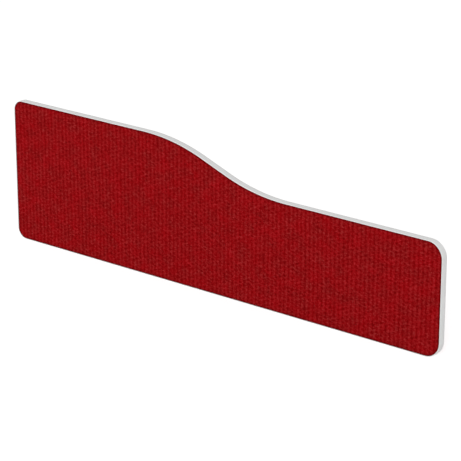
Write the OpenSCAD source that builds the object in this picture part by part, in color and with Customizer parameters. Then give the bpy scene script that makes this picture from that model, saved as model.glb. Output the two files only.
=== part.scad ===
// Desk privacy panel with a wave top: a fabric-covered sandwich board held in a barbed edge trim.
// Millimetres. The panel stands on z = 0, centred on x = 0 and y = 0, with its front at -y.

/* [Panel] */
// Width over the edge trim
panel_w = 1400; // [1000:50:1800]
// Height of the tall end over the edge trim
tall_h = 400; // [370:10:430]
// Height of the low end over the edge trim
low_h = 300; // [270:10:330]
// Corner radius at the tall end
tall_corner_r = 30; // [22:1:40]
// Corner radius at the low end
low_corner_r = 43; // [30:1:48]

/* [Wave] */
// How far the middle of the wave lies from the middle of the panel
wave_x = 0; // [-60:10:60]
// Straight slope between the wave's two bends
wave_straight = 86; // [40:2:180]

/* [Layers] */
// Thickness of the timber frame and its honeycomb
frame_t = 10; // [10:1:18]
// Thickness of each face board
board_t = 2; // [2:0.5:4]
// Thickness of each foam sheet
foam_t = 2.5; // [2.5:0.5:5]
// Thickness of each fabric cover
fabric_t = 1; // [0.6:0.1:1.4]
// Outer radius of the fabric where it turns over the edge
turn_r = 3; // [2:0.25:3.25]

/* [Frame] */
// Width of the two end stiles
stile_w = 45; // [45:1:60]
// Width of the top and bottom rails
rail_w = 45; // [42:1:60]
// Width of the two studs
stud_w = 45; // [36:1:60]
// Dowel diameter
dowel_d = 6; // [5:1:8]
// Dowel length
dowel_l = 30; // [24:2:36]
// Wood left beside a dowel
dowel_edge = 5; // [4:1:6]

/* [Honeycomb] */
// Cell size across the flats
cell_af = 36; // [28:1:60]
// Thickness of the paper walls
cell_wall = 0.8; // [0.6:0.1:1.4]

/* [Edge trim] */
// Thickness of the cap at its crown
cap_t = 2; // [1.75:0.25:3]
// Height of the crown over the cap's two lips
crown_h = 1; // [0.5:0.1:1.2]
// Radius on the outer edges of the cap
lip_r = 0.5; // [0.3:0.1:0.7]
// Thickness of the tongue between its barbs
tongue_t = 1.4; // [1:0.1:1.8]
// How far the tongue reaches below the cap
tongue_l = 10; // [8:0.5:12]
// How far each barb stands out of the tongue
barb_h = 0.4; // [0.2:0.1:0.6]
// Rows of barbs
barb_rows = 3; // [2:1:4]
// How far the fabric is tucked into the groove
tuck_l = 6; // [4:0.5:8]
// Width of the seam where the two ends of the trim meet
seam_w = 0.4; // [0.2:0.1:1]

/* [Bracket fixings] */
// From each end of the panel to the middle of its pair of inserts
fixing_in = 250; // [150:10:320]
// Between the two inserts of a pair
fixing_pitch = 50; // [40:5:80]
// Outer diameter of an insert over its barbs
insert_d = 7; // [6.5:0.5:8]
// Length of an insert
insert_l = 18; // [14:1:22]
// Thread bore of an insert, the tapping size of M5
thread_d = 4.2; // [4:0.1:4.3]
// Hole in the trim for the bracket screw
screw_hole_d = 5.5; // [5:0.1:6.5]

/* [Hidden] */
$fn = 180;
wave_steps = 720;    // steps in a full turn of the wave's long arcs

// Clearances
slot_gap = 0.1;      // between a barb tip and the tucked fabric
groove_end_gap = 1;  // beyond the tip of the tongue
drill_gap = 0.05;    // round a dowel or an insert
drill_end_gap = 1;   // beyond the end of a dowel or an insert
core_gap = 0.5;      // round a honeycomb
pierce_gap = 0.3;    // round an insert, in the fabric
notch_gap = 1;       // round an insert, in the tongue

// Small details
dowel_chamfer = 0.8;
insert_barbs = 4;
insert_barb_h = 0.4;
insert_mouth = 0.5;  // depth and width of the bevel at the mouth of the thread
barb_tip = 0.6;      // how much of the tongue's half thickness is left at its tip
barb_ramp = 0.7;     // how much of a barb's pitch is its slope
barb_land = 0.05;    // how much of a barb's pitch is its flat top

// Layers, counted from the middle plane of the panel
board_y = frame_t / 2;
foam_y = board_y + board_t;
fabric_y = foam_y + foam_t;
face_y = fabric_y + fabric_t;
panel_t = 2 * face_y;

// Insets, counted inwards from the crown of the trim
core_in = cap_t + fabric_t;       // edge of the frame, boards and foam
turn_in = cap_t + turn_r;         // where the turned fabric becomes flat
rail_in = core_in + rail_w;       // inner edge of the rails
groove_half = tongue_t / 2 + barb_h + slot_gap + fabric_t;
groove_in = cap_t + tongue_l + groove_end_gap;

// The wave: a crest arc and a hollow arc of one radius, joined by a straight slope that falls
// 44 in 117. These are the legs of a 44, 117, 125 triangle, so its directions are exact decimals.
slope_normal = [0.352, 0.936];
slope_along = [slope_normal[1], -slope_normal[0]];
wave_drop = tall_h - low_h;
wave_r = (wave_drop - wave_straight * slope_normal[0]) / (2 - 2 * slope_normal[1]);
wave_run = 2 * wave_r * slope_normal[0] + wave_straight * slope_normal[1];
wave_start = wave_x - wave_run / 2;
wave_end = wave_x + wave_run / 2;
crest = [wave_start, tall_h - wave_r];
hollow = [wave_end, low_h + wave_r];
function crest_end(inset) = crest + (wave_r - inset) * slope_normal;
function hollow_start(inset) = hollow - (wave_r + inset) * slope_normal;

// Places of the members
half_w = panel_w / 2;
stile_x = half_w - core_in - stile_w;    // inner face of each stile
split_z = low_h / 2;                     // between the bottom and the top of the ring frame
slack = 1;                               // how far a cutting tool overruns
far = 2500;                              // past the wave's bends; keeps the sides of wedges exact

// Dowels, each as its middle and the way it points
outer_dowel_in = groove_in + dowel_edge + dowel_d / 2;
inner_dowel_in = rail_in - dowel_edge - dowel_d / 2;
stud_dowel_x = stud_w / 4;
dowels = concat(
    [for (x = [-stile_x, stile_x], z = [outer_dowel_in, inner_dowel_in]) [[x, z], 0]],
    [for (inset = [outer_dowel_in, inner_dowel_in]) [[-stile_x, tall_h - inset], 0]],
    [for (inset = [outer_dowel_in, inner_dowel_in]) [[stile_x, low_h - inset], 0]],
    [[[wave_start, tall_h - outer_dowel_in], 0], [[wave_end, low_h - outer_dowel_in], 0]],
    [for (x = [wave_start, wave_end], side = [-1, 1]) [[x + side * stud_dowel_x, rail_in], 90]],
    [for (side = [-1, 1]) [[wave_start + side * stud_dowel_x, tall_h - rail_in], 90]],
    [for (side = [-1, 1]) [[wave_end + side * stud_dowel_x, low_h - rail_in], 90]]
);
inserts = [for (side = [-1, 1], hand = [-1, 1]) side * (half_w - fixing_in) + hand * fixing_pitch / 2];

// ---- The panel's outline ----

// What a rounding of radius r about a centre takes off, within the angle between two directions
module spandrel(centre, r, from, to) {
    translate(centre) difference() {
        polygon([[0, 0], far * from, far * (from + to), far * to]);
        circle(r);
    }
}

// What the straight slope takes off, above it
module slope_cut(inset) {
    polygon([
        crest_end(inset), crest_end(inset) + wave_drop * (slope_normal - slope_along),
        hollow_start(inset) + 2 * wave_drop * (slope_normal + slope_along), hollow_start(inset)
    ]);
}

// The whole outline, inset from the crown of the trim
module outline(inset) {
    left = -half_w + inset;
    right = half_w - inset;
    top = tall_h - inset;
    tall_x = -half_w + tall_corner_r;
    low_x = half_w - low_corner_r;
    difference() {
        polygon([
            [left, inset], [right, inset], [right, low_h - inset], [wave_end, low_h - inset],
            hollow_start(inset), [hollow_start(inset)[0], top], [left, top]
        ]);
        spandrel(crest, wave_r - inset, slope_normal, [0, 1], $fn = wave_steps);
        slope_cut(inset);
        translate(hollow) intersection() {
            circle(wave_r + inset, $fn = wave_steps);
            polygon([[0, 0], -far * slope_normal, [0, -far]]);
        }
        if (tall_corner_r > inset) {
            spandrel([tall_x, tall_corner_r], tall_corner_r - inset, [-1, 0], [0, -1]);
            spandrel([tall_x, tall_h - tall_corner_r], tall_corner_r - inset, [-1, 0], [0, 1]);
        }
        if (low_corner_r > inset) {
            spandrel([low_x, low_corner_r], low_corner_r - inset, [1, 0], [0, -1]);
            spandrel([low_x, low_h - low_corner_r], low_corner_r - inset, [1, 0], [0, 1]);
        }
    }
}

// Turns what is drawn in x and y, with its thickness in z, to stand up with its front at -y
module stand() {
    rotate([90, 0, 0]) children();
}

// A flat layer from y0 to y1 in front of the middle plane
module layer(inset, y0, y1) {
    stand() translate([0, 0, y0]) linear_extrude(y1 - y0) outline(inset);
}

// ---- Sweeping a section round the outline ----
// A section is drawn with x as its inset and y as its distance in front of the middle plane.

// A straight stretch from one point to the next, with the panel on its left
module straight(from, to) {
    run = to - from;
    along = run / norm(run);
    multmatrix([
        [-along[1], 0, along[0], from[0]],
        [along[0], 0, along[1], from[1]],
        [0, 1, 0, 0],
        [0, 0, 0, 1]
    ]) linear_extrude(norm(run)) children();
}

// A bend about a centre that lies inside the panel, within a wedge
module outer_bend(centre, r, wedge) {
    translate(centre) intersection() {
        rotate_extrude() translate([r, 0]) mirror([1, 0]) children();
        linear_extrude(2 * panel_t, center = true) polygon(wedge);
    }
}

// A bend about a centre that lies outside the panel, within a wedge
module inner_bend(centre, r, wedge) {
    translate(centre) intersection() {
        rotate_extrude() translate([r, 0]) children();
        linear_extrude(2 * panel_t, center = true) polygon(wedge);
    }
}

module corner_bend(centre, r, side, end) {
    outer_bend(centre, r, 2 * r * [[0, 0], [side, 0], [side, end], [0, end]]) children();
}

module round_outline() {
    tall_x = -half_w + tall_corner_r;
    low_x = half_w - low_corner_r;
    tall_z = tall_h - tall_corner_r;
    low_z = low_h - low_corner_r;
    straight([tall_x, 0], [low_x, 0]) children();
    corner_bend([low_x, low_corner_r], low_corner_r, 1, -1) children();
    straight([half_w, low_corner_r], [half_w, low_z]) children();
    corner_bend([low_x, low_z], low_corner_r, 1, 1) children();
    straight([low_x, low_h], [wave_end, low_h]) children();
    inner_bend(hollow, wave_r, [[0, 0], [0, -far], -far * slope_normal], $fn = wave_steps) children();
    straight(hollow_start(0), crest_end(0)) children();
    outer_bend(crest, wave_r, [[0, 0], far * slope_normal, [0, far]], $fn = wave_steps) children();
    straight([wave_start, tall_h], [tall_x, tall_h]) children();
    corner_bend([tall_x, tall_z], tall_corner_r, -1, 1) children();
    straight([-half_w, tall_z], [-half_w, tall_corner_r]) children();
    corner_bend([tall_x, tall_corner_r], tall_corner_r, -1, -1) children();
}

// ---- The timber frame ----

module groove() {
    stand() linear_extrude(2 * groove_half, center = true) difference() {
        outline(core_in - slack);
        outline(groove_in);
    }
}

// A dowel's shape, or its hole, about its middle and along x
module dowel(d, l, chamfer) {
    rotate([0, 90, 0]) rotate_extrude() polygon([
        [0, -l / 2], [d / 2 - chamfer, -l / 2], [d / 2, -l / 2 + chamfer],
        [d / 2, l / 2 - chamfer], [d / 2 - chamfer, l / 2], [0, l / 2]
    ]);
}

module at_dowels(which = dowels) {
    for (d = which) translate([d[0][0], 0, d[0][1]]) rotate([0, -d[1], 0]) children();
}

module dowel_holes() {
    at_dowels() rotate([0, 90, 0])
        cylinder(d = dowel_d + 2 * drill_gap, h = dowel_l + 2 * drill_end_gap, center = true);
}

// A member of the frame: its outline as a child, grooved and drilled
module member() {
    color("burlywood") difference() {
        stand() linear_extrude(frame_t, center = true) children();
        groove();
        dowel_holes();
    }
}

module rail(x0, x1, z0, z1) {
    intersection() {
        difference() {
            outline(core_in);
            outline(rail_in);
        }
        translate([x0, z0]) square([x1 - x0, z1 - z0]);
    }
}

module stile(side) {
    intersection() {
        outline(core_in);
        translate([side < 0 ? -half_w : stile_x, 0]) square([half_w - stile_x, tall_h]);
    }
}

module stud(x) {
    intersection() {
        outline(rail_in);
        translate([x - stud_w / 2, 0]) square([stud_w, tall_h]);
    }
}

module bottom_rail() {
    difference() {
        member() rail(-stile_x, stile_x, 0, split_z);
        color("burlywood") at_inserts()
            cylinder(d = insert_d + 2 * drill_gap, h = 2 * (insert_l + drill_end_gap), center = true);
    }
}

module tall_stile() {
    member() stile(-1);
}

module low_stile() {
    member() stile(1);
}

module tall_top_rail() {
    member() rail(-stile_x, wave_start, split_z, tall_h);
}

module wave_rail() {
    member() rail(wave_start, wave_end, split_z, tall_h);
}

module low_top_rail() {
    member() rail(wave_end, stile_x, split_z, tall_h);
}

module tall_stud() {
    member() stud(wave_start);
}

module low_stud() {
    member() stud(wave_end);
}

module frame_dowels() {
    color("wheat") at_dowels() dowel(dowel_d, dowel_l, dowel_chamfer);
}

// ---- The honeycomb ----

cell_pitch = cell_af + cell_wall;
row_pitch = cell_pitch * sqrt(3) / 2;

// The space between two members, less a gap all round
module bay(x0, x1, gap) {
    intersection() {
        outline(rail_in + gap);
        translate([x0 + gap, 0]) square([x1 - x0 - 2 * gap, tall_h]);
    }
}

module cells(x0, x1) {
    for (row = [floor(rail_in / row_pitch):ceil((tall_h - rail_in) / row_pitch)]) {
        shift = row % 2 == 0 ? 0 : cell_pitch / 2;
        for (i = [floor((x0 - shift) / cell_pitch):ceil((x1 - shift) / cell_pitch)])
            translate([i * cell_pitch + shift, row * row_pitch]) rotate(30)
                circle(cell_af / sqrt(3), $fn = 6);
    }
}

// Paper honeycomb that fills a bay, with a strip of the same paper round its edge
module honeycomb(x0, x1) {
    color("tan") stand() linear_extrude(frame_t, center = true) difference() {
        bay(x0, x1, core_gap);
        intersection() {
            bay(x0, x1, core_gap + cell_wall);
            cells(x0, x1);
        }
    }
}

module tall_honeycomb() {
    honeycomb(-stile_x, wave_start - stud_w / 2);
}

module wave_honeycomb() {
    honeycomb(wave_start + stud_w / 2, wave_end - stud_w / 2);
}

module low_honeycomb() {
    honeycomb(wave_end + stud_w / 2, stile_x);
}

// ---- The face layers ----

module mirror_to_rear() {
    mirror([0, 1, 0]) children();
}

module board() {
    color("peru") layer(core_in, board_y, foam_y);
}

module front_board() {
    board();
}

module rear_board() {
    mirror_to_rear() board();
}

// A foam sheet, rounded off where the fabric turns over it
module foam() {
    inner_r = turn_r - fabric_t;
    color("whitesmoke") {
        layer(turn_in, foam_y, fabric_y);
        stand() round_outline() {
            translate([core_in, foam_y]) square([inner_r, foam_t - inner_r]);
            translate([turn_in, fabric_y - inner_r]) intersection() {
                circle(inner_r);
                translate([-inner_r, 0]) square(inner_r);
            }
        }
    }
}

module front_foam() {
    foam();
}

module rear_foam() {
    mirror_to_rear() foam();
}

// The fabric in section, from the flat face round the edge and into the groove
module fabric_section() {
    inner_r = turn_r - fabric_t;
    translate([turn_in, face_y - turn_r]) intersection() {
        difference() {
            circle(turn_r);
            circle(inner_r);
        }
        translate([-turn_r, 0]) square(turn_r);
    }
    polygon([
        [cap_t, face_y - turn_r], [cap_t, groove_half - fabric_t / 2],
        [core_in - fabric_t / 2, groove_half - fabric_t], [core_in + tuck_l, groove_half - fabric_t],
        [core_in + tuck_l, groove_half], [core_in, groove_half], [core_in, face_y - turn_r]
    ]);
}

module fabric() {
    color("firebrick") difference() {
        union() {
            layer(turn_in, fabric_y, face_y);
            stand() round_outline() fabric_section();
        }
        at_inserts() cylinder(d = insert_d + 2 * pierce_gap, h = 4 * tuck_l, center = true);
    }
}

module front_fabric() {
    fabric();
}

module rear_fabric() {
    mirror_to_rear() fabric();
}

// ---- The edge trim ----

crown_r = (face_y ^ 2 + crown_h ^ 2) / (2 * crown_h);
barb_pitch = (tongue_l - tuck_l / 2) / barb_rows;

// The cap in section: crowned, with rounded lips
module cap_section() {
    intersection() {
        translate([crown_r, 0]) circle(crown_r);
        union() {
            translate([0, -face_y + lip_r]) square([cap_t, panel_t - 2 * lip_r]);
            translate([crown_h + lip_r, -face_y]) square([cap_t - crown_h - lip_r, panel_t]);
            for (side = [-1, 1]) translate([crown_h + lip_r, side * (face_y - lip_r)]) circle(lip_r);
        }
    }
}

// The tongue in section, with saw-tooth barbs that slope towards its tip
module tongue_section() {
    half_t = tongue_t / 2;
    tip = cap_t + tongue_l;
    translate([cap_t, -half_t]) square([tongue_l, tongue_t]);
    for (row = [0:barb_rows - 1], side = [-1, 1]) {
        x = tip - row * barb_pitch;
        top = x - barb_ramp * barb_pitch;
        back = top - barb_land * barb_pitch;
        polygon([
            [x, side * half_t * barb_tip], [top, side * (half_t + barb_h)],
            [back, side * (half_t + barb_h)], [back, 0]
        ]);
    }
}

module edge_trim() {
    color("gainsboro") difference() {
        stand() round_outline() {
            cap_section();
            tongue_section();
        }
        at_inserts(-core_in) cylinder(d = screw_hole_d, h = 4 * cap_t, center = true);
        at_inserts(-fabric_t)
            cylinder(d = insert_d + 2 * notch_gap, h = tongue_l + slack);
        translate([-seam_w / 2, -panel_t, -slack]) cube([seam_w, 2 * panel_t, groove_in]);
    }
}

// ---- The inserts for the desk brackets ----

// At the mouth of each insert, in the bottom edge of the frame
module at_inserts(lift = 0) {
    for (x = inserts) translate([x, 0, core_in + lift]) children();
}

module insert() {
    pitch = insert_l / insert_barbs;
    top_r = insert_d / 2;
    root_r = top_r - insert_barb_h;
    difference() {
        rotate_extrude() polygon(concat(
            [[0, 0]],
            [for (z = [0:pitch:insert_l - pitch / 2], p = [[top_r, z], [root_r, z + pitch]]) p],
            [[0, insert_l]]
        ));
        translate([0, 0, -slack]) cylinder(d = thread_d, h = insert_l + 2 * slack);
        cylinder(d1 = thread_d + 2 * insert_mouth, d2 = thread_d, h = insert_mouth);
    }
}

module threaded_inserts() {
    color("goldenrod") at_inserts() insert();
}

bottom_rail();
tall_stile();
low_stile();
tall_top_rail();
wave_rail();
low_top_rail();
tall_stud();
low_stud();
frame_dowels();
tall_honeycomb();
wave_honeycomb();
low_honeycomb();
front_board();
rear_board();
front_foam();
rear_foam();
front_fabric();
rear_fabric();
edge_trim();
threaded_inserts();
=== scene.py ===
import math
import bpy
import numpy as np
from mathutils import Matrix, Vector
from mathutils.geometry import delaunay_2d_cdt


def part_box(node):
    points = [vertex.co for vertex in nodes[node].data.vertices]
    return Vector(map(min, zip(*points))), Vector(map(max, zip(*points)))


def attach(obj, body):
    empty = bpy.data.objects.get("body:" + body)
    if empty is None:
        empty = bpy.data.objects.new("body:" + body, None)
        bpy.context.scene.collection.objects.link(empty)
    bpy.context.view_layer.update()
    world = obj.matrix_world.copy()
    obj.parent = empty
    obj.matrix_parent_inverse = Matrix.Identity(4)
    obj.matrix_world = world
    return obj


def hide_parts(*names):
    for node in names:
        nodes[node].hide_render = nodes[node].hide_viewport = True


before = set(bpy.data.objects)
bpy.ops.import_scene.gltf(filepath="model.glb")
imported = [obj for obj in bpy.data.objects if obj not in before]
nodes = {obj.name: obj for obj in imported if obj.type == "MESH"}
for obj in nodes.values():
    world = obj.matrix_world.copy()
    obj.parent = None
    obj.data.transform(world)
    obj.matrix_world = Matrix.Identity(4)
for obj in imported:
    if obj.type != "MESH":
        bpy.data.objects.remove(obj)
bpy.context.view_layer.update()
print("frame loaded:", len(nodes), "solids")

# Camera

camera = {
    "azimuth": 38.61,      # degrees round the panel, 0 is square to its front
    "elevation": 19.83,
    "distance": 5.502,
    "aim": (0.0571, -0.0105, 0.1892),
    "lens": 168.26,
    "sensorWidth": 36,
    "clipEnd": 200,
}


def makeCamera(values):
    data = bpy.data.cameras.new("camera")
    data.lens = values["lens"]
    data.sensor_width = values["sensorWidth"]
    data.clip_end = values["clipEnd"]
    made = bpy.data.objects.new("camera", data)
    bpy.context.scene.collection.objects.link(made)
    turn, lift = math.radians(values["azimuth"]), math.radians(values["elevation"])
    back = Vector((math.sin(turn) * math.cos(lift), -math.cos(turn) * math.cos(lift), math.sin(lift)))
    made.location = Vector(values["aim"]) + back * values["distance"]
    made.rotation_euler = (-back).to_track_quat("-Z", "Y").to_euler()
    bpy.context.scene.camera = made


makeCamera(camera)
print("camera placed")

# The panel's outline, the same arcs as the solids have

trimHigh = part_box("edge_trim")[1]
foamBack = -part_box("front_foam")[1].y      # where the foam lies on its board

panel = {
    "lowHeight": 0.300,          # over the trim, at the low end
    "tallCorner": 0.030,         # corner radius at the tall end
    "lowCorner": 0.043,          # corner radius at the low end
    "waveStraight": 0.086,       # straight slope between the wave's two bends
    "slopeNormal": (0.352, 0.936),   # square to that slope, and of length one
    "waveMiddle": 0.0,
    "cap": 0.002,                # thickness of the trim's cap
    "fabric": 0.001,
    "turn": 0.003,               # outer radius of the fabric where it turns over the edge
    "grooveHalf": 0.0022,
    "tuck": 0.006,
    "insertAt": (-0.475, -0.425, 0.425, 0.475),
}
halfWidth = trimHigh.x
tallHeight = trimHigh.z
faceY = trimHigh.y
coreInset = panel["cap"] + panel["fabric"]
turnInset = panel["cap"] + panel["turn"]


def arcPlaces(centre, radius, fromAngle, toAngle, steps, inner=False):
    # inner is for a hollow bend, whose centre lies outside the panel
    places = []
    for angle in np.linspace(fromAngle, toAngle, steps + 1):
        outward = np.array([math.cos(angle), math.sin(angle)])
        places.append((np.array(centre) + radius * outward, outward if inner else -outward))
    return places


def outlinePlaces(straightStep, cornerSteps, waveSteps):
    # (point on the crown of the trim, direction into the panel), round the outline from the
    # middle of the bottom edge, with the panel on the left
    normal = np.array(panel["slopeNormal"])
    slopeAngle = math.atan2(normal[1], normal[0])
    drop = tallHeight - panel["lowHeight"]
    radius = (drop - panel["waveStraight"] * normal[0]) / (2 - 2 * normal[1])
    run = 2 * radius * normal[0] + panel["waveStraight"] * normal[1]
    crest = (panel["waveMiddle"] - run / 2, tallHeight - radius)
    hollow = (panel["waveMiddle"] + run / 2, panel["lowHeight"] + radius)
    low, tall = panel["lowCorner"], panel["tallCorner"]
    quarter = math.pi / 2
    corners = [
        arcPlaces((halfWidth - low, low), low, -quarter, 0, cornerSteps),
        arcPlaces((halfWidth - low, panel["lowHeight"] - low), low, 0, quarter, cornerSteps),
        arcPlaces(hollow, radius, -quarter, slopeAngle - math.pi, waveSteps, inner=True),
        arcPlaces(crest, radius, slopeAngle, quarter, waveSteps),
        arcPlaces((tall - halfWidth, tallHeight - tall), tall, quarter, 2 * quarter, cornerSteps),
        arcPlaces((tall - halfWidth, tall), tall, 2 * quarter, 3 * quarter, cornerSteps),
    ]
    start = (np.array([0.0, 0.0]), np.array([0.0, 1.0]))
    places = [start]
    for bend in corners + [[start]]:
        (last, inward), goal = places[-1], bend[0][0]
        parts = max(1, round(np.linalg.norm(goal - last) / straightStep))
        places += [(last + (goal - last) * i / parts, inward) for i in range(1, parts)]
        places += bend
    return [np.array(column) for column in zip(*places[:-1])]


# Small helpers for node trees

def addNode(tree, kind, inputs=None, **settings):
    made = tree.nodes.new(kind)
    for name, value in settings.items():
        setattr(made, name, value)
    for key, value in (inputs or {}).items():
        if isinstance(value, bpy.types.NodeSocket):
            tree.links.new(value, made.inputs[key])
        else:
            made.inputs[key].default_value = value
    return made


def calc(tree, operation, *values):
    return addNode(tree, "ShaderNodeMath", dict(enumerate(values)), operation=operation).outputs[0]


def spread(tree, value, fromLow, fromHigh, toLow=0.0, toHigh=1.0, smooth=False):
    kind = "SMOOTHSTEP" if smooth else "LINEAR"
    inputs = {0: value, 1: fromLow, 2: fromHigh, 3: toLow, 4: toHigh}
    return addNode(tree, "ShaderNodeMapRange", inputs, interpolation_type=kind).outputs[0]


def mixColour(tree, factor, first, second, blend="MIX"):
    inputs = {"Factor_Float": factor, "A_Color": first, "B_Color": second}
    made = tree.nodes.new("ShaderNodeMix")
    made.data_type = "RGBA"
    made.blend_type = blend
    for name, value in inputs.items():
        socket = next(s for s in made.inputs if s.identifier == name)
        if isinstance(value, bpy.types.NodeSocket):
            tree.links.new(value, socket)
        else:
            socket.default_value = value
    return next(s for s in made.outputs if s.identifier == "Result_Color")


def noise(tree, place, scale=1.0, detail=2.0, roughness=0.5, stretch=None, distortion=0.0):
    if stretch:
        place = addNode(tree, "ShaderNodeMapping", {"Vector": place, "Scale": stretch}).outputs[0]
    inputs = {"Vector": place, "Scale": scale, "Detail": detail, "Roughness": roughness}
    inputs["Distortion"] = distortion
    return addNode(tree, "ShaderNodeTexNoise", inputs).outputs["Fac"]


def tint(colour, amount=1.0):
    return (*[min(1.0, c * amount) for c in colour[:3]], 1.0)


def newFinish(name):
    made = bpy.data.materials.new(name)
    made.use_nodes = True
    tree = made.node_tree
    tree.nodes.clear()
    surface = addNode(tree, "ShaderNodeBsdfPrincipled")
    output = addNode(tree, "ShaderNodeOutputMaterial")
    tree.links.new(surface.outputs[0], output.inputs["Surface"])
    return made, tree, surface


def bump(tree, height, distance, strength=1.0, before=None):
    inputs = {"Height": height, "Strength": strength, "Distance": distance}
    if before is not None:
        inputs["Normal"] = before
    return addNode(tree, "ShaderNodeBump", inputs).outputs[0]


def objectPlace(tree):
    return addNode(tree, "ShaderNodeTexCoord").outputs["Object"]


def finishPiece(made, finish, replaced):
    made.data.materials.clear()
    made.data.materials.append(finish)
    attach(made, "root")
    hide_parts(replaced)
    return made


# Finishes

weave = {
    # yarn colours from the hollows of the weave up to its high spots: yarn tones that differ at
    # random, with painted shade in the hollows and a painted highlight on the high spots
    "tonesAndPaintedShade": ((0.00, (0.168, 0.0005, 0.0010)), (0.40, (0.252, 0.0011, 0.0025)),
               (0.62, (0.308, 0.0042, 0.0063)), (1.00, (0.408, 0.0270, 0.0295))),
    "dull": (0.90, 1.24, 1.08),          # what the colours are multiplied by, from patch to patch
    "vivid": (1.09, 0.74, 0.88),
    "fleck": (0.130, 0.0060, 0.0040),
    "paintedShadeDepth": 0.42,                   # how much darker the cloth is painted where it turns in: painted shade for the groove along the trim
    "warpPitch": 0.00108,
    "weftPitch": 0.00097,
    "ribYarns": 12,                      # warp yarns in a rib
    "strandYarns": 3,                    # weft yarns that were dyed together
    "latticeStrands": 4,                 # strands in one repeat of the ribs' stagger
    "strandLength": 0.0085,              # over which a strand keeps its tone
    "yarnLength": 0.0050,
    "twistPitch": 0.0005,
    "strandSeed": 0.37,
    "weftSeed": 4.61,
    "warpSeed": 9.23,
    "wander": (0.006, 0.005),            # how far the yarns stray, across and up
    "wanderScale": (6, 9),
    "slubStretch": (150.0, 22.0, 1.0),
    "fibreScale": 1900,
    "level": 0.50,                       # middle place on the ramp of yarn colours and painted shade
    "causes": {                          # (middle, weight) of what moves a spot along the ramp; rib, stagger, pad and twist follow the relief, so they paint its shade
        "rib": (0.64, 0.30), "stagger": (0.0, 0.12), "strand": (0.5, 1.00), "onTop": (0.5, 1.20),
        "slub": (0.5, 0.06), "pad": (0.41, 0.48), "warpOver": (0.5, 0.05), "twist": (0.0, 0.05),
        "fibre": (0.5, 0.25),
    },
    "hueScale": 26,
    "hueRange": (0.32, 0.68),
    "fleckScale": 170,
    "fleckRange": (0.60, 0.70),
    "fleckShare": 0.55,
    "yarnHeight": 0.00022,
    "ribHeight": 0.00040,
    "fibreHeight": 0.00006,
    "strandRelief": 0.5,
    "twistRelief": 0.4,
    "roughness": (0.84, 0.97),
    "specular": 0.02,
    "sheen": 0.02,
    "sheenRoughness": 0.5,
    "sheenTint": (0.8, 0.05, 0.06, 1),
}
noiseRange = (0.3, 0.7)                  # where nearly all values of a noise lie
yarnApart = 7.317                        # sets the tones of neighbouring yarns apart


def ramp(tree, factor, stops):
    made = addNode(tree, "ShaderNodeValToRGB", {0: factor})
    marks = made.color_ramp.elements
    while len(marks) < len(stops):
        marks.new(0.5)
    for mark, (place, colour) in zip(marks, stops):
        mark.position = place
        mark.color = tint(colour)
    return made.outputs[0]


def weighed(tree, start, *terms):
    # start + each value's distance from its middle, times its weight
    total = start
    for value, middle, weight in terms:
        away = calc(tree, "SUBTRACT", value, middle)
        total = calc(tree, "MULTIPLY_ADD", away, weight, total)
    return total


def yarnTone(tree, along, index, length, seed):
    # drifts along a yarn and differs from one yarn to the next
    place = calc(tree, "DIVIDE", along, length)
    yarn = calc(tree, "MULTIPLY", index, yarnApart)
    spot = addNode(tree, "ShaderNodeCombineXYZ", {0: place, 1: yarn, 2: seed}).outputs[0]
    return noise(tree, spot, detail=1.0)


def arch(tree, share):
    # 0 at both ends of a yarn's width, 1 in its middle
    return calc(tree, "SINE", calc(tree, "MULTIPLY", share, math.pi))


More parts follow.
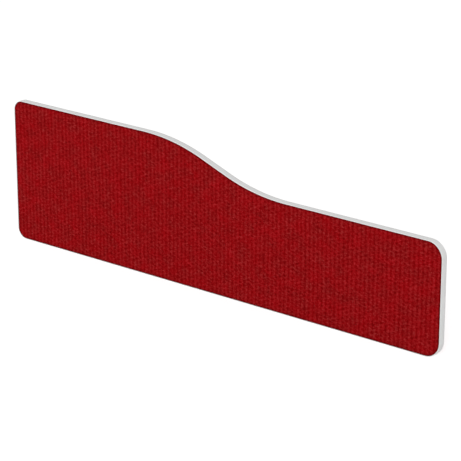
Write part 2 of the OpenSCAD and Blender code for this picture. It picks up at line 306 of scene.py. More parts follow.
def wovenFinish(values):
    finish, tree, surface = newFinish("wovenFabric")
    place = addNode(tree, "ShaderNodeUVMap", uv_map="cloth").outputs[0]
    axes = addNode(tree, "ShaderNodeSeparateXYZ", {0: place}).outputs
    across, up = [calc(tree, "MULTIPLY_ADD", noise(tree, place, scale), stray, axis)
                  for scale, stray, axis in zip(values["wanderScale"], values["wander"], axes)]
    # a plain weave: warp yarns stand in columns, weft yarns lie in rows
    warp = calc(tree, "DIVIDE", across, values["warpPitch"])
    weft = calc(tree, "DIVIDE", up, values["weftPitch"])
    warpIndex, weftIndex = calc(tree, "FLOOR", warp), calc(tree, "FLOOR", weft)
    warpArch = arch(tree, calc(tree, "FRACT", warp))
    weftArch = arch(tree, calc(tree, "FRACT", weft))
    warpOver = calc(tree, "FLOORED_MODULO", calc(tree, "ADD", warpIndex, weftIndex), 2.0)
    pad = calc(tree, "MULTIPLY", warpArch, weftArch)
    # ribs: every few warp yarns the cloth dips, and the high spots of neighbouring ribs stagger
    ribs = calc(tree, "DIVIDE", warp, values["ribYarns"])
    rib = arch(tree, calc(tree, "FRACT", ribs))
    strandIndex = calc(tree, "FLOOR", calc(tree, "DIVIDE", weft, values["strandYarns"]))
    repeat = calc(tree, "DIVIDE", calc(tree, "ADD", strandIndex, 0.5), values["latticeStrands"])
    stagger = calc(tree, "MULTIPLY", calc(tree, "COSINE", calc(tree, "MULTIPLY", ribs, math.pi)),
                   calc(tree, "COSINE", calc(tree, "MULTIPLY", repeat, 2 * math.pi)))
    # tone: of each strand of weft yarns, and of the yarn that lies on top at each crossing
    strand = yarnTone(tree, across, strandIndex, values["strandLength"], values["strandSeed"])
    weftTone = yarnTone(tree, across, weftIndex, values["yarnLength"], values["weftSeed"])
    warpTone = yarnTone(tree, up, warpIndex, values["yarnLength"], values["warpSeed"])
    onTop = addNode(tree, "ShaderNodeMix", {0: warpOver, 2: weftTone, 3: warpTone}).outputs[0]
    slub = noise(tree, place, detail=3, roughness=0.6, stretch=values["slubStretch"])
    # twist of the yarns and loose fibres
    turn = 2 * math.pi / values["twistPitch"]
    lean = calc(tree, "MULTIPLY_ADD", warpOver, 2.0, -1.0)
    slant = calc(tree, "MULTIPLY_ADD", axes[1], lean, axes[0])
    twist = calc(tree, "SINE", calc(tree, "MULTIPLY", slant, turn))
    fibre = noise(tree, place, values["fibreScale"], detail=3, roughness=0.65)
    # colour: yarn tones that differ at random, with painted shade and painted highlight that follow
    # the relief
    causes = {"rib": rib, "stagger": stagger, "strand": strand, "onTop": onTop, "slub": slub,
              "pad": pad, "warpOver": warpOver, "twist": twist, "fibre": fibre}
    terms = [(causes[name], *shares) for name, shares in values["causes"].items()]
    level = weighed(tree, values["level"], *terms)
    colour = ramp(tree, level, values["tonesAndPaintedShade"])
    hue = noise(tree, place, values["hueScale"], detail=1.5, roughness=0.6)
    hue = spread(tree, hue, *values["hueRange"])
    hueTint = mixColour(tree, hue, (*values["dull"], 1.0), (*values["vivid"], 1.0))
    colour = mixColour(tree, 1.0, colour, hueTint, "MULTIPLY")
    fleck = noise(tree, place, values["fleckScale"], detail=3, roughness=0.65)
    fleck = spread(tree, fleck, *values["fleckRange"], 0.0, values["fleckShare"])
    colour = mixColour(tree, fleck, colour, tint(values["fleck"]))
    # painted shade: the cloth is darkened where it turns in at the trim, in place of the shadow in the
    # groove
    fold = addNode(tree, "ShaderNodeAttribute", attribute_name="fold").outputs["Fac"]
    paintedShadeTone = calc(tree, "MULTIPLY_ADD", fold, -values["paintedShadeDepth"], 1.0)
    tone = addNode(tree, "ShaderNodeCombineColor", {0: paintedShadeTone, 1: paintedShadeTone, 2: paintedShadeTone}).outputs[0]
    colour = mixColour(tree, 1.0, colour, tone, "MULTIPLY")
    tree.links.new(colour, surface.inputs["Base Color"])
    # relief
    swell = calc(tree, "MULTIPLY_ADD", strand, values["strandRelief"], rib)
    relief = bump(tree, swell, values["ribHeight"])
    relief = bump(tree, pad, values["yarnHeight"], before=relief)
    fuzz = weighed(tree, 0.0, (twist, 0.0, values["twistRelief"]), (fibre, 0.0, 1.0))
    relief = bump(tree, fuzz, values["fibreHeight"], before=relief)
    tree.links.new(relief, surface.inputs["Normal"])
    tree.links.new(spread(tree, fibre, *noiseRange, *values["roughness"]), surface.inputs["Roughness"])
    surface.inputs["Specular IOR Level"].default_value = values["specular"]
    surface.inputs["Sheen Weight"].default_value = values["sheen"]
    surface.inputs["Sheen Roughness"].default_value = values["sheenRoughness"]
    surface.inputs["Sheen Tint"].default_value = values["sheenTint"]
    return finish


trimLook = {
    "colour": (0.81, 0.81, 0.805),
    "cloudScale": 7,
    "cloudShade": (0.975, 1.02),
    "drawnStretch": (3.0, 90.0, 1.0),    # streaks left by the die that the strip was drawn through
    "drawnShade": 0.03,
    "scuffStretch": (60.0, 12.0, 1.0),
    "scuffRange": (0.66, 0.74),
    "scuffShare": 0.10,
    "scuffShade": 0.7,
    "scuffRoughness": 0.2,
    "grainScale": 1400,
    "roughness": (0.41, 0.51),
    "streakHeight": 0.00004,
    "specular": 0.34,
}


def trimFinish(values):
    finish, tree, surface = newFinish("trimPvc")
    place = objectPlace(tree)
    along = addNode(tree, "ShaderNodeAttribute", attribute_name="along").outputs["Fac"]
    across = addNode(tree, "ShaderNodeAttribute", attribute_name="across").outputs["Fac"]
    strip = addNode(tree, "ShaderNodeCombineXYZ", {0: along, 1: across}).outputs[0]
    drawn = noise(tree, strip, detail=4, roughness=0.6, stretch=values["drawnStretch"])
    cloud = noise(tree, place, values["cloudScale"], detail=3)
    grain = noise(tree, place, values["grainScale"], roughness=0.6)
    shade = spread(tree, cloud, *noiseRange, *values["cloudShade"])
    streak = spread(tree, drawn, *noiseRange, -0.5, 0.5)
    shade = calc(tree, "MULTIPLY_ADD", streak, values["drawnShade"], shade)
    scuff = noise(tree, strip, detail=5, roughness=0.7, stretch=values["scuffStretch"])
    scuff = spread(tree, scuff, *values["scuffRange"])
    colour = mixColour(tree, calc(tree, "MULTIPLY", scuff, values["scuffShare"]),
                       tint(values["colour"]), tint(values["colour"], values["scuffShade"]))
    tone = addNode(tree, "ShaderNodeCombineColor", {0: shade, 1: shade, 2: shade}).outputs[0]
    tree.links.new(mixColour(tree, 1.0, colour, tone, "MULTIPLY"), surface.inputs["Base Color"])
    gloss = spread(tree, grain, *noiseRange, *values["roughness"])
    gloss = calc(tree, "MULTIPLY_ADD", scuff, values["scuffRoughness"], gloss)
    tree.links.new(gloss, surface.inputs["Roughness"])
    relief = bump(tree, drawn, values["streakHeight"], strength=0.6)
    relief = bump(tree, grain, values["streakHeight"], strength=0.4, before=relief)
    tree.links.new(relief, surface.inputs["Normal"])
    surface.inputs["Specular IOR Level"].default_value = values["specular"]
    return finish


timberLook = {
    "ringWander": 0.4,        # this and the next are multiplied by the ring scale
    "ringCount": 0.5,
    "bandRange": (0.35, 0.92),
    "bandShare": 0.75,
    "poreScale": 900,
    "poreRange": (0.56, 0.72),
    "poreShare": 0.5,
    "poreShade": 0.7,
    "roughness": (0.55, 0.72),
    "poreHeight": 0.00012,
    "bandHeight": 0.0001,
    "specular": 0.3,
}


def timberFinish(name, pale, dark, stretch, ringScale, values=timberLook):
    # stretch shrinks the coordinate that runs along the grain
    finish, tree, surface = newFinish(name)
    place = objectPlace(tree)
    drawnOut = addNode(tree, "ShaderNodeMapping", {"Vector": place, "Scale": stretch}).outputs[0]
    wander = noise(tree, drawnOut, ringScale * values["ringWander"], detail=3, roughness=0.55)
    ring = calc(tree, "FRACT", calc(tree, "MULTIPLY", wander, ringScale * values["ringCount"]))
    start, crest = values["bandRange"]
    rise, fall = spread(tree, ring, start, crest), spread(tree, ring, crest, 1.0, 1.0, 0.0)
    band = calc(tree, "MULTIPLY", rise, fall)
    pore = noise(tree, drawnOut, values["poreScale"], detail=3, roughness=0.7)
    bandShare = calc(tree, "MULTIPLY", band, values["bandShare"])
    colour = mixColour(tree, bandShare, tint(pale), tint(dark))
    speck = spread(tree, pore, *values["poreRange"], 0.0, values["poreShare"])
    colour = mixColour(tree, speck, colour, tint(dark, values["poreShade"]))
    tree.links.new(colour, surface.inputs["Base Color"])
    tree.links.new(spread(tree, pore, *noiseRange, *values["roughness"]), surface.inputs["Roughness"])
    relief = bump(tree, pore, values["poreHeight"], strength=0.5)
    relief = bump(tree, band, values["bandHeight"], strength=0.4, before=relief)
    tree.links.new(relief, surface.inputs["Normal"])
    surface.inputs["Specular IOR Level"].default_value = values["specular"]
    return finish


paperLook = {
    "mottleScale": 30,
    "fibreRange": (0.35, 0.68),
    "mottleRange": (0.35, 0.7),
    "mottleShare": 0.35,
    "roughness": (0.88, 0.72),
    "fibreHeight": 0.00015,
    "specular": 0.25,
}


def paperFinish(name, pale, dark, fibreScale, stretch=(1, 1, 1), values=paperLook):
    # kraft paper and pressed board: matted fibres over a slow mottle
    finish, tree, surface = newFinish(name)
    place = objectPlace(tree)
    fibre = noise(tree, place, fibreScale, detail=4, roughness=0.7, stretch=stretch, distortion=0.8)
    mottle = noise(tree, place, values["mottleScale"], detail=3, roughness=0.6)
    colour = mixColour(tree, spread(tree, fibre, *values["fibreRange"]), tint(dark), tint(pale))
    blotch = spread(tree, mottle, *values["mottleRange"], 0.0, values["mottleShare"])
    colour = mixColour(tree, blotch, colour, tint(dark))
    tree.links.new(colour, surface.inputs["Base Color"])
    tree.links.new(spread(tree, fibre, *noiseRange, *values["roughness"]), surface.inputs["Roughness"])
    tree.links.new(bump(tree, fibre, values["fibreHeight"], strength=0.5), surface.inputs["Normal"])
    surface.inputs["Specular IOR Level"].default_value = values["specular"]
    return finish


foamLook = {
    "colour": (0.80, 0.79, 0.74),
    "aged": (0.62, 0.58, 0.46),
    "agedScale": 18,
    "agedRange": (0.4, 0.8),
    "agedShare": 0.3,
    "cellScale": 900.0,
    "cellRange": (0.1, 0.7),
    # painted shade: how much darker the middle of each cell is, as if shaded by its walls
    "cellPaintedShade": 0.72,
    "roughness": (0.98, 0.85),
    "cellHeight": 0.0003,
    "specular": 0.1,
}


def foamFinish(values):
    finish, tree, surface = newFinish("backingFoam")
    place = objectPlace(tree)
    inputs = {"Vector": place, "Scale": values["cellScale"]}
    cells = addNode(tree, "ShaderNodeTexVoronoi", inputs).outputs["Distance"]
    cloud = noise(tree, place, values["agedScale"], detail=3)
    # painted shade in the cell hollows: a darker copy of the foam colour in each cell's middle
    hollow, wall = tint(values["colour"], values["cellPaintedShade"]), tint(values["colour"])
    shade = mixColour(tree, spread(tree, cells, *values["cellRange"]), hollow, wall)
    aged = spread(tree, cloud, *values["agedRange"], 0.0, values["agedShare"])
    shade = mixColour(tree, aged, shade, tint(values["aged"]))
    tree.links.new(shade, surface.inputs["Base Color"])
    gloss = spread(tree, cells, 0.0, values["cellRange"][1], *values["roughness"])
    tree.links.new(gloss, surface.inputs["Roughness"])
    tree.links.new(bump(tree, cells, values["cellHeight"], strength=0.8), surface.inputs["Normal"])
    surface.inputs["Specular IOR Level"].default_value = values["specular"]
    return finish


brassLook = {
    "colour": (0.78, 0.57, 0.28),
    "turnedStretch": (60.0, 60.0, 9000.0),
    "turnedHeight": 0.00005,
    "tarnishScale": 260,
    "tarnishRange": (0.45, 0.75),
    "tarnishShade": 0.55,
    "tarnishRoughness": 0.2,
    "roughness": (0.24, 0.36),
}


def brassFinish(values):
    finish, tree, surface = newFinish("insertBrass")
    place = objectPlace(tree)
    turned = noise(tree, place, detail=3, roughness=0.6, stretch=values["turnedStretch"])
    tarnish = noise(tree, place, values["tarnishScale"], detail=4, roughness=0.6)
    tarnish = spread(tree, tarnish, *values["tarnishRange"])
    bright, dull = tint(values["colour"]), tint(values["colour"], values["tarnishShade"])
    shade = mixColour(tree, tarnish, bright, dull)
    tree.links.new(shade, surface.inputs["Base Color"])
    gloss = spread(tree, turned, *noiseRange, *values["roughness"])
    gloss = calc(tree, "MULTIPLY_ADD", tarnish, values["tarnishRoughness"], gloss)
    tree.links.new(gloss, surface.inputs["Roughness"])
    tree.links.new(bump(tree, turned, values["turnedHeight"], strength=0.5), surface.inputs["Normal"])
    surface.inputs["Metallic"].default_value = 1.0
    return finish


wovenFabric = wovenFinish(weave)
trimPvc = trimFinish(trimLook)
print("finishes made")

# Edge trim: a crowned cap with a barbed tongue, drawn round the outline

edgeTrim = {
    "cornerSteps": 22,
    "waveSteps": 30,
    "straightStep": 0.12,
    "crownHeight": 0.0010,
    "crownSteps": 26,
    "lipRadius": 0.0009,
    "lipArc": (90.0, 154.8),      # degrees that the lip turns through, up to the crown
    "lipMeets": 0.55,             # where the crown begins, in lip radii from the face
    "lipSteps": 6,
    "tongueThickness": 0.0014,
    "tongueLength": 0.010,
    "barbHeight": 0.0004,
    "barbPitch": 0.00233,
    "barbPeak": (0.7, 0.75),      # where a barb is highest, in pitches from its tip
    "barbTip": 0.6,               # what is left of the tongue's thickness there
    "barbRows": 3,
    "seam": (0.0004, 0.06, 0.04),  # its width, and a depth and height that clear the strip
    "screwHole": 0.0055,
    "insertClearance": 0.009,
    "notchDepth": 0.014,
    "holeSides": 48,
    "mergeWithin": 0.000001,      # doubles that the cuts leave
    "sharpAngle": 32,
}


def trimSection(values):
    # (inset from the crown, distance in front of the middle plane), round the section
    rise, half, lip = values["crownHeight"], faceY, values["lipRadius"]
    crown = (half ** 2 + rise ** 2) / (2 * rise)
    reach = half - lip * values["lipMeets"]
    top = []
    for y in np.linspace(reach, -reach, values["crownSteps"] + 1):
        top.append((crown - math.sqrt(crown ** 2 - y ** 2), y))
    lipCentre = rise + lip
    front = []
    for angle in np.radians(np.linspace(*values["lipArc"], values["lipSteps"] + 1)[:-1]):
        front.append((lipCentre + lip * math.cos(angle), half - lip + lip * math.sin(angle)))
    rear = [(x, -y) for x, y in reversed(front)]
    thin, tip = values["tongueThickness"] / 2, panel["cap"] + values["tongueLength"]
    barb = []
    for row in range(values["barbRows"] - 1, -1, -1):
        x = tip - row * values["barbPitch"]
        point, back = [x - share * values["barbPitch"] for share in values["barbPeak"]]
        barb += [(back, thin), (back, thin + values["barbHeight"]),
                 (point, thin + values["barbHeight"]), (x, thin * values["barbTip"])]
    under = [(panel["cap"], -half), (panel["cap"], -thin)]
    under += [(x, -y) for x, y in barb] + list(reversed(barb))
    under += [(panel["cap"], thin), (panel["cap"], half)]
    return front + top + rear + under


def closedCurve(name, points):
    curve = bpy.data.curves.new(name, "CURVE")
    curve.dimensions = "3D"
    spline = curve.splines.new("POLY")
    spline.points.add(len(points) - 1)
    for target, point in zip(spline.points, points):
        target.co = (*point, 1.0)
    spline.use_cyclic_u = True
    made = bpy.data.objects.new(name, curve)
    bpy.context.scene.collection.objects.link(made)
    return made


def upright(tree, diameter, depth):
    radius = calc(tree, "DIVIDE", diameter, 2.0)
    inputs = {"Vertices": edgeTrim["holeSides"], "Radius": radius, "Depth": depth}
    return addNode(tree, "GeometryNodeMeshCylinder", inputs).outputs[0]


def trimTree():
    tree = bpy.data.node_groups.new("edgeTrimNodes", "GeometryNodeTree")
    face = tree.interface
    face.new_socket("Path", in_out="INPUT", socket_type="NodeSocketGeometry")
    for name, kind in (("Section", "Object"), ("Fixings", "Object"), ("Screw hole", "Float"),
                       ("Insert clearance", "Float"), ("Notch depth", "Float"), ("Cap", "Float"),
                       ("Seam", "Vector"), ("Merge within", "Float"), ("Finish", "Material")):
        face.new_socket(name, in_out="INPUT", socket_type="NodeSocket" + kind)
    face.new_socket("Trim", in_out="OUTPUT", socket_type="NodeSocketGeometry")
    given = addNode(tree, "NodeGroupInput").outputs
    length = addNode(tree, "GeometryNodeSplineParameter").outputs["Length"]
    path = addNode(tree, "GeometryNodeSetCurveNormal",
                   {"Curve": given["Path"], "Normal": (0, 1, 0)}, mode="FREE").outputs[0]
    path = addNode(tree, "GeometryNodeStoreNamedAttribute",
                   {"Geometry": path, "Name": "along", "Value": length}).outputs[0]
    section = addNode(tree, "GeometryNodeObjectInfo", {"Object": given["Section"]}).outputs["Geometry"]
    section = addNode(tree, "GeometryNodeStoreNamedAttribute",
                      {"Geometry": section, "Name": "across", "Value": length}).outputs[0]
    strip = addNode(tree, "GeometryNodeCurveToMesh",
                    {"Curve": path, "Profile Curve": section}).outputs[0]
    # a screw hole through the cap and a notch in the tongue at each fixing, and the seam
    fixings = addNode(tree, "GeometryNodeObjectInfo", {"Object": given["Fixings"]}).outputs["Geometry"]
    drill = upright(tree, given["Screw hole"], calc(tree, "MULTIPLY", given["Cap"], 4.0))
    notch = upright(tree, given["Insert clearance"], given["Notch depth"])
    lift = calc(tree, "MULTIPLY_ADD", given["Notch depth"], 0.5, given["Cap"])
    lift = addNode(tree, "ShaderNodeCombineXYZ", {2: lift}).outputs[0]
    notch = addNode(tree, "GeometryNodeTransform", {"Geometry": notch, "Translation": lift}).outputs[0]
    seam = addNode(tree, "GeometryNodeMeshCube", {"Size": given["Seam"]}).outputs[0]
    for cutter in (drill, notch):
        holes = addNode(tree, "GeometryNodeInstanceOnPoints",
                        {"Points": fixings, "Instance": cutter}).outputs[0]
        holes = addNode(tree, "GeometryNodeRealizeInstances", {"Geometry": holes}).outputs[0]
        strip = addNode(tree, "GeometryNodeMeshBoolean", {"Mesh 1": strip, "Mesh 2": holes},
                        operation="DIFFERENCE", solver="MANIFOLD").outputs[0]
    strip = addNode(tree, "GeometryNodeMeshBoolean", {"Mesh 1": strip, "Mesh 2": seam},
                    operation="DIFFERENCE", solver="MANIFOLD").outputs[0]
    strip = addNode(tree, "GeometryNodeMergeByDistance",
                    {"Geometry": strip, "Distance": given["Merge within"]}).outputs[0]
    strip = addNode(tree, "GeometryNodeRealizeInstances", {"Geometry": strip}).outputs[0]
    strip = addNode(tree, "GeometryNodeSetMaterial",
                    {"Geometry": strip, "Material": given["Finish"]}).outputs[0]
    addNode(tree, "NodeGroupOutput", {"Trim": strip})
    return tree


def settle(holder, name, modifier):
    # turns the evaluated result into a plain mesh object and removes what made it
    bpy.context.view_layer.update()
    graph = bpy.context.evaluated_depsgraph_get()
    mesh = bpy.data.meshes.new_from_object(holder.evaluated_get(graph))
    mesh.name = name
    made = bpy.data.objects.new(name, mesh)
    bpy.context.scene.collection.objects.link(made)
    holder.modifiers.remove(modifier)
    bpy.data.objects.remove(holder)
    return made


def makeTrim(values):
    base, inward = outlinePlaces(values["straightStep"], values["cornerSteps"], values["waveSteps"])
    path = closedCurve("trimPath", [(x, 0, z) for x, z in base])
    # the section's first axis is the path's normal, towards +y, and its second points inwards;
    # it runs clockwise, so that the strip's faces look outwards
    section = closedCurve("trimSection", [(y, inset, 0) for inset, y in reversed(trimSection(values))])
    points = bpy.data.meshes.new("trimFixings")
    points.from_pydata([(x, 0, 0) for x in panel["insertAt"]], [], [])
    fixings = bpy.data.objects.new("trimFixings", points)
    bpy.context.scene.collection.objects.link(fixings)
    tree = trimTree()
    modifier = path.modifiers.new("trim", "NODES")
    modifier.node_group = tree
    keys = {item.name: item.identifier for item in tree.interface.items_tree if item.in_out == "INPUT"}
    modifier[keys["Section"]] = section
    modifier[keys["Fixings"]] = fixings
    modifier[keys["Screw hole"]] = values["screwHole"]
    modifier[keys["Insert clearance"]] = values["insertClearance"]
    modifier[keys["Notch depth"]] = values["notchDepth"]
    modifier[keys["Cap"]] = panel["cap"]
    modifier[keys["Seam"]] = values["seam"]
    modifier[keys["Merge within"]] = values["mergeWithin"]
    modifier[keys["Finish"]] = trimPvc
    made = settle(path, "edgeTrim", modifier)
    bpy.data.objects.remove(section)
    bpy.data.objects.remove(fixings)
    mesh = made.data
    for face in mesh.polygons:
        face.use_smooth = True
    mesh.set_sharp_from_angle(angle=math.radians(values["sharpAngle"]))
    return made


trimPiece = finishPiece(makeTrim(edgeTrim), trimPvc, "edge_trim")
print("edge trim:", len(trimPiece.data.polygons), "faces")

# Cloth and foam: sheets with a turned edge, closed front to back

cover = {
    "step": 0.005,            # between neighbouring points on the flat face
    "cornerSteps": 16,
    "waveSteps": 34,
    "turnSteps": 7,
    "gridFrom": 0.6,          # steps kept free between the edge and the face's own points
    "samePoint": 1e-7,        # points nearer than this count as one
    "unevenness": 0.00012,    # how far the face dips between its high spots
    "flatRim": 0.004,         # no dip this close to the edge
    "dipRun": 0.03,           # and the full dip this much further in
    "frontSeed": 5,
    "rearSeed": 6,
    "ripples": 14,
    "rippleLength": (0.05, 0.16),
    "rimPaintedShade": 0.6,           # how much of the turned cloth's painted shade the rim of the face has
    "foamClear": 0.00005,     # left between the foam and what is round it
    "pierced": 0.0076,        # hole round an insert
    "pierceDepth": 0.024,
    "holeSides": 40,
    "cutSteps": (0.02, 12, 12),
}


def distanceToEdge(points, edge, blockSize=2000):
    # distance from each point to the closed polyline, in blocks to keep the arrays small
    start, end = edge, np.roll(edge, -1, axis=0)
    along = end - start
    lengths = (along ** 2).sum(1)
    found = []
    for block in np.array_split(points, max(1, len(points) // blockSize)):
        offset = block[:, None, :] - start[None, :, :]
        share = np.clip((offset * along).sum(2) / lengths, 0, 1)
        gap = offset - share[:, :, None] * along
        found.append(np.sqrt((gap ** 2).sum(2)).min(1))
    return np.concatenate(found)


def insideEdge(points, edge):
    x, z = points[:, 0:1], points[:, 1:2]
    x0, z0 = edge[:, 0], edge[:, 1]
    x1, z1 = np.roll(x0, -1), np.roll(z0, -1)
    crosses = (z0 > z) != (z1 > z)
    reach = (x1 - x0) * (z - z0) / np.where(z1 == z0, 1, z1 - z0) + x0
    return (crosses & (x < reach)).sum(1) % 2 == 1


def facePatch(edge, values):
    # a triangulated patch inside the edge, with its own points on a grid
    step = values["step"]
    low, high = edge.min(0), edge.max(0)
    grid = np.array([(x, z) for x in np.arange(low[0] + step, high[0], step)
                     for z in np.arange(low[1] + step, high[1], step)])
    grid = grid[insideEdge(grid, edge)]
    grid = grid[distanceToEdge(grid, edge) > values["gridFrom"] * step]
    points = np.vstack([edge, grid])
    # output type 1 keeps only the triangles that lie inside the edge
    rim = list(range(len(edge)))
    found = delaunay_2d_cdt([Vector(p) for p in points], [], [rim], 1, values["samePoint"])
    return np.array([tuple(p) for p in found[0]]), [list(f) for f in found[2]], len(edge)


def slowNoise(points, seed, values):
    # a sum of a few long ripples, the same on each run
    source = np.random.default_rng(seed)
    total = np.zeros(len(points))
    for _ in range(values["ripples"]):
        angle, phase = source.uniform(0, 2 * math.pi, 2)
        length = source.uniform(*values["rippleLength"])
        direction = np.array([math.cos(angle), math.sin(angle)])
        total += np.sin(points @ direction * 2 * math.pi / length + phase)
    return total / math.sqrt(values["ripples"])


def makeSheet(name, section, values, side, seed):
    # section: (inset, distance in front of the middle plane) from the rim of the face, round the
    # turned edge, to the rim of the back
    base, inward = outlinePlaces(values["step"], values["cornerSteps"], values["waveSteps"])
    count = len(base)
    edge = base + inward * section[0][0]
    patch, triangles, rim = facePatch(edge, values)
    depth = np.clip((distanceToEdge(patch, edge) - values["flatRim"]) / values["dipRun"], 0, 1)
    waviness = slowNoise(patch, seed, values) * 0.5 - 1.0
    dip = values["unevenness"] * waviness * depth ** 2 * (3 - 2 * depth)
    points = [(x, section[0][1] + d, z) for (x, z), d in zip(patch, np.minimum(dip, 0))]
    cloth = [tuple(p) for p in patch]
    # mask of painted shade: full on the turned cloth, part of it on the rim of the face, none inside
    fold = [values["rimPaintedShade"] if i < rim else 0.0 for i in range(len(patch))]
    faces = [tuple(f) for f in triangles]
    ring = list(range(count))
    travelled = 0.0
    for before, after in zip(section[:-1], section[1:]):
        travelled += math.dist(before, after)
        first = len(points)
        points += [(p[0], after[1], p[1]) for p in base + inward * after[0]]
        cloth += [tuple(p) for p in edge - inward * travelled]
        fold += [1.0] * count
        turned = list(range(first, first + count))
        for i in range(count):
            j = (i + 1) % count
            faces.append((ring[j], ring[i], turned[i], turned[j]))
        ring = turned
    faces.append(tuple(reversed(ring)))       # the back, in one piece
    points = np.array(points)
    points[:, 1] *= -1 if side < 0 else 1
    if side > 0:
        faces = [tuple(reversed(f)) for f in faces]
    mesh = bpy.data.meshes.new(name)
    mesh.from_pydata([tuple(p) for p in points], [], faces)
    layer = mesh.uv_layers.new(name="cloth")
    corner = np.zeros(len(mesh.loops), dtype=np.int32)
    mesh.loops.foreach_get("vertex_index", corner)
    layer.uv.foreach_set("vector", np.array(cloth, dtype=np.float32)[corner].ravel())
    mesh.attributes.new("fold", "FLOAT", "POINT").data.foreach_set("value", fold)
    for face in mesh.polygons:
        face.use_smooth = True
    mesh.validate()
    made = bpy.data.objects.new(name, mesh)
    bpy.context.scene.collection.objects.link(made)
    return made


def turnArc(centreInset, centreY, radius, fromAngle, toAngle, steps):
    arc = []
    for angle in np.linspace(math.radians(fromAngle), math.radians(toAngle), steps + 1):
        arc.append((centreInset + radius * math.cos(angle), centreY + radius * math.sin(angle)))
    return arc


def clothSection(values):
    # the section, and how many of its points lie on the outer face of the cloth
    cap, thick, groove = panel["cap"], panel["fabric"], panel["grooveHalf"]
    turnY = faceY - panel["turn"]
    outside = turnArc(turnInset, turnY, panel["turn"], 90, 180, values["turnSteps"])
    outside += [(cap, (turnY + groove) / 2), (cap, groove - thick / 2)]
    outside += [(coreInset - thick / 2, groove - thick), (coreInset + panel["tuck"], groove - thick)]
    inside = [(coreInset + panel["tuck"], groove), (coreInset, groove)]
    inside += [(coreInset, (turnY + groove) / 2)]
    inside += turnArc(turnInset, turnY, panel["turn"] - thick, 180, 90, values["turnSteps"])
    return outside + inside, len(outside)


def foamSection(values):
    # a little under the space between board and cloth
    clear = values["foamClear"]
    thick, outer = panel["fabric"], faceY - panel["fabric"] - clear
    radius = panel["turn"] - thick - clear
    outside = turnArc(turnInset, outer - radius, radius, 90, 180, values["turnSteps"])
    return outside + [(coreInset + clear, foamBack + clear)]


def pierce(made, values):
    # the holes where the inserts pass through the turned cloth
    cutters = []
    for x in panel["insertAt"]:
        bpy.ops.mesh.primitive_cylinder_add(vertices=values["holeSides"], radius=values["pierced"] / 2,
                                            depth=values["pierceDepth"], location=(x, 0, coreInset))
        cutters.append(bpy.context.object)
    bpy.ops.object.select_all(action="DESELECT")
    for cutter in cutters:
        cutter.select_set(True)
    bpy.context.view_layer.objects.active = cutters[0]
    bpy.ops.object.join()
    tool = bpy.context.object
    modifier = made.modifiers.new("pierce", "BOOLEAN")
    modifier.object = tool
    modifier.operation = "DIFFERENCE"
    modifier.solver = "MANIFOLD"
    done = settle(made, made.name, modifier)
    bpy.data.objects.remove(tool)
    return done


def makeCover(name, side, seed, replaced):
    section, outerPoints = clothSection(cover)
    made = pierce(makeSheet(name + "Raw", section, cover, side, seed), cover)
    made.name = name
    finishPiece(made, wovenFabric, replaced)
    # the outline at the cut steps, which nothing here uses
    base, inward = outlinePlaces(*cover["cutSteps"])


def makeFoam(name, side, seed, replaced, finish):
    made = makeSheet(name, foamSection(cover), cover, side, seed)
    finishPiece(made, finish, replaced)
    print(name + ":", len(made.data.polygons), "faces")


backingFoam = foamFinish(foamLook)
makeFoam("frontFoam", -1, cover["frontSeed"], "front_foam", backingFoam)
makeFoam("rearFoam", 1, cover["rearSeed"], "rear_foam", backingFoam)
makeCover("frontFabric", -1, cover["frontSeed"], "front_fabric")
makeCover("rearFabric", 1, cover["rearSeed"], "rear_fabric")

# Finishes of the solids inside

inside = {
    "pinePale": (0.66, 0.46, 0.25),
    "pineDark": (0.47, 0.27, 0.11),
    "beechPale": (0.62, 0.40, 0.24),
    "beechDark": (0.42, 0.24, 0.13),
    "paperPale": (0.50, 0.35, 0.20),
    "paperDark": (0.33, 0.21, 0.11),
    "boardPale": (0.30, 0.17, 0.085),
    "boardDark": (0.15, 0.08, 0.04),
}
pineAlong = timberFinish("pineAlong", inside["pinePale"], inside["pineDark"], (0.06, 1, 1), 90)
pineUp = timberFinish("pineUp", inside["pinePale"], inside["pineDark"], (1, 1, 0.06), 90)
beech = timberFinish("beechDowel", inside["beechPale"], inside["beechDark"], (0.2, 1, 0.2), 160)
kraft = paperFinish("kraftPaper", inside["paperPale"], inside["paperDark"], 700, (1, 1, 0.4))
pressed = paperFinish("hardboard", inside["boardPale"], inside["boardDark"], 420)
brass = brassFinish(brassLook)
finishOf = {
    "bottom_rail": pineAlong, "tall_top_rail": pineAlong,
    "wave_rail": pineAlong, "low_top_rail": pineAlong,
    "tall_stile": pineUp, "low_stile": pineUp, "tall_stud": pineUp, "low_stud": pineUp,
    "frame_dowels": beech,
    "tall_honeycomb": kraft, "wave_honeycomb": kraft, "low_honeycomb": kraft,
    "front_board": pressed, "rear_board": pressed,
    "threaded_inserts": brass,
}
for name, finish in finishOf.items():
    slots = nodes[name].material_slots
    if len(slots) == 0:
        nodes[name].data.materials.append(finish)
    for held in slots:
        held.material = finish
print("inner solids finished:", len(finishOf))

# Floor, background and light

studio = {
    "floorSize": 60.0,
    "floorColour": 0.80,
    "floorLift": (0.58, 0.68),   # added for the camera, so that a lit floor comes out white
    "liftReach": (2.0, 9.0),     # the second value of the lift holds beyond the lamps' reach
    "world": 0.40,
    "keyPower": 905.0,
    "keySize": 6.0,
    "keyAt": (7.1, -9.9, 6.3),
    "fillPower": 80.0,
    "fillSize": 3.0,
    "fillAt": (-3.4, -4.2, 2.4),
    "backPower": 113.0,
    "backSize": 3.0,
    "backAt": (0.3, 7.5, 1.5),
    "lampsAim": (0, 0, 0.2),
}


def seenDirectly(tree):
    # 1 for what the camera, a mirror-like gloss or glass looks at
    path = addNode(tree, "ShaderNodeLightPath").outputs
    seen = calc(tree, "MAXIMUM", path["Is Camera Ray"], path["Is Glossy Ray"])
    return calc(tree, "MAXIMUM", seen, path["Is Transmission Ray"])


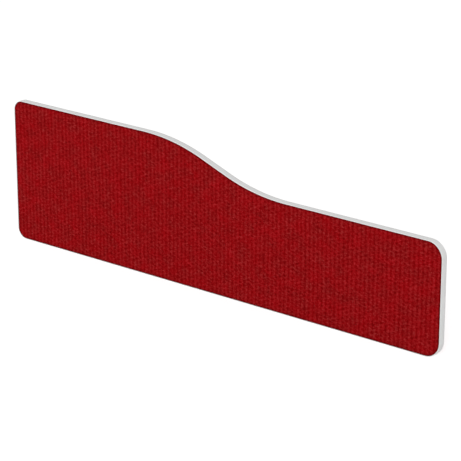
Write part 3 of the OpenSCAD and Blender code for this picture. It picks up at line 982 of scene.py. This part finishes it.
def makeFloor(values):
    half = values["floorSize"] / 2
    mesh = bpy.data.meshes.new("floor")
    corners = [(-half, -half, 0), (half, -half, 0), (half, half, 0), (-half, half, 0)]
    mesh.from_pydata(corners, [], [(0, 1, 2, 3)])
    made = bpy.data.objects.new("floor", mesh)
    bpy.context.scene.collection.objects.link(made)
    finish = bpy.data.materials.new("paleFloor")
    finish.use_nodes = True
    tree = finish.node_tree
    tree.nodes.clear()
    colour = (values["floorColour"],) * 3 + (1,)
    matt = addNode(tree, "ShaderNodeBsdfDiffuse", {"Color": colour}).outputs[0]
    away = addNode(tree, "ShaderNodeVectorMath", {0: objectPlace(tree)}, operation="LENGTH")
    away = away.outputs["Value"]
    lift = spread(tree, away, *values["liftReach"], *values["floorLift"], smooth=True)
    lift = calc(tree, "MULTIPLY", seenDirectly(tree), lift)
    glow = addNode(tree, "ShaderNodeEmission", {"Strength": lift}).outputs[0]
    both = addNode(tree, "ShaderNodeAddShader", {0: matt, 1: glow}).outputs[0]
    addNode(tree, "ShaderNodeOutputMaterial", {"Surface": both})
    mesh.materials.append(finish)


def makeWorld(values):
    world = bpy.data.worlds.new("studio")
    bpy.context.scene.world = world
    world.use_nodes = True
    tree = world.node_tree
    tree.nodes.clear()
    strength = calc(tree, "MULTIPLY_ADD", seenDirectly(tree), 1.0 - values["world"], values["world"])
    glow = addNode(tree, "ShaderNodeBackground",
                   {"Color": (1, 1, 1, 1), "Strength": strength}).outputs[0]
    addNode(tree, "ShaderNodeOutputWorld", {"Surface": glow})


def addLamp(name, power, size, place):
    data = bpy.data.lights.new(name, "AREA")
    data.shape = "DISK"
    data.energy = power
    data.size = size
    made = bpy.data.objects.new(name, data)
    made.location = place
    towards = Vector(studio["lampsAim"]) - Vector(place)
    made.rotation_euler = towards.to_track_quat("-Z", "Y").to_euler()
    bpy.context.scene.collection.objects.link(made)


makeFloor(studio)
makeWorld(studio)
addLamp("keyLamp", studio["keyPower"], studio["keySize"], studio["keyAt"])
addLamp("fillLamp", studio["fillPower"], studio["fillSize"], studio["fillAt"])
addLamp("backLamp", studio["backPower"], studio["backSize"], studio["backAt"])
bpy.context.scene.view_settings.view_transform = "Standard"
print("floor, world and lamps placed")
